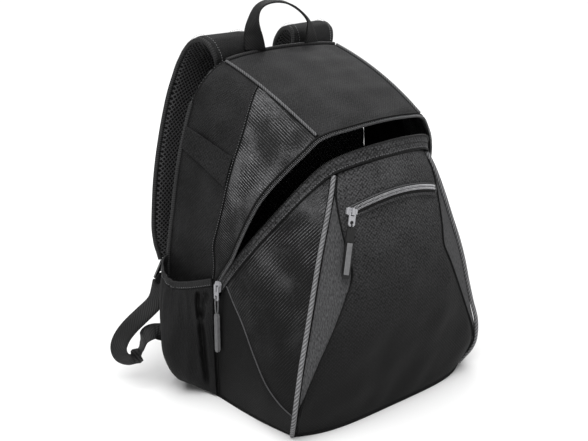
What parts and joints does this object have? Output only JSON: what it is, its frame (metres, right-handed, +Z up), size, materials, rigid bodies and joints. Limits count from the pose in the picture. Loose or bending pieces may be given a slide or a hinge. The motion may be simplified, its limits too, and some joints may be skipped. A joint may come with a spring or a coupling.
{
  "type": "baseball bat backpack",
  "caption": "Free-standing bat backpack, open at the hood: arched rear shell, flared front shell with a zipped pocket, side pockets, padded shoulder straps and a haul handle.",
  "frame": {"origin": "centre of the bounding box on the ground, under the bag", "axes": "+X to the viewer's right seen from the front, -Y the front, +Z up, millimetre source scaled to metres"},
  "size_m": [0.4724, 0.3014, 0.4763],
  "materials": {
    "plain": "charcoal fine weave polyester, matt",
    "ribbed": "charcoal ribbed cloth with thin light lines",
    "heather": "mid grey heather cloth",
    "pocket": "soft stretch cloth, matt",
    "piping": "light grey piping cord",
    "webbing": "black woven webbing",
    "mesh": "black spacer mesh over foam",
    "teeth": "zip tape with its teeth",
    "gunmetal": "gunmetal, satin",
    "rubber": "moulded grip on cord",
    "buckle": "black acetal"
  },
  "bodies": {
    "bag": {"side_panel_right": "ribbed", "side_panel_left": "ribbed", "rib_panel_right": "ribbed", "rib_panel_left": "ribbed", "hood_panel": "plain", "hood_zip_tape": "teeth", "hood_piping_right": "piping", "hood_piping_left": "piping", "side_band_right": "webbing", "side_band_left": "webbing", "gusset_rib_right": "ribbed", "gusset_rib_left": "ribbed", "gusset_base_right": "plain", "gusset_base_left": "plain", "front_panel": "plain", "front_sliver_right": "heather", "front_sliver_left": "heather", "front_piping_right": "piping", "front_piping_left": "piping", "front_zip_tape": "plain", "base_panel": "plain", "back_panel": "mesh", "side_pocket_right": "pocket", "side_pocket_left": "pocket", "pocket_hem_right": "pocket", "pocket_hem_left": "pocket", "haul_handle": "webbing", "shoulder_strap_right": "mesh", "shoulder_strap_left": "mesh", "strap_webbing_right": "webbing", "strap_webbing_left": "webbing", "strap_buckle_right": "buckle", "strap_buckle_left": "buckle", "pocket_zip": "teeth", "pocket_zip_slider": "gunmetal", "zip_slider_left": "gunmetal", "zip_slider_right": "gunmetal"},
    "zip_pull": {"zip_tab_left": "gunmetal", "zip_pull_left": "rubber"},
    "pocket_pull": {"pocket_zip_tab": "gunmetal", "pocket_zip_pull": "rubber"}
  },
  "joints": [
    {"name": "zip_pull_hinge", "type": "hinge", "parent": "bag", "child": "zip_pull", "pos_m": [-0.15928, 0.00993, 0.15367], "axis": [0, 1, 0], "range_deg": [0, 100]},
    {"name": "pocket_pull_hinge", "type": "hinge", "parent": "bag", "child": "pocket_pull", "pos_m": [-0.07125, -0.13102, 0.26471], "axis": [-0.9087, 0.3598, 0.2119], "range_deg": [0, 100]}
  ]
}
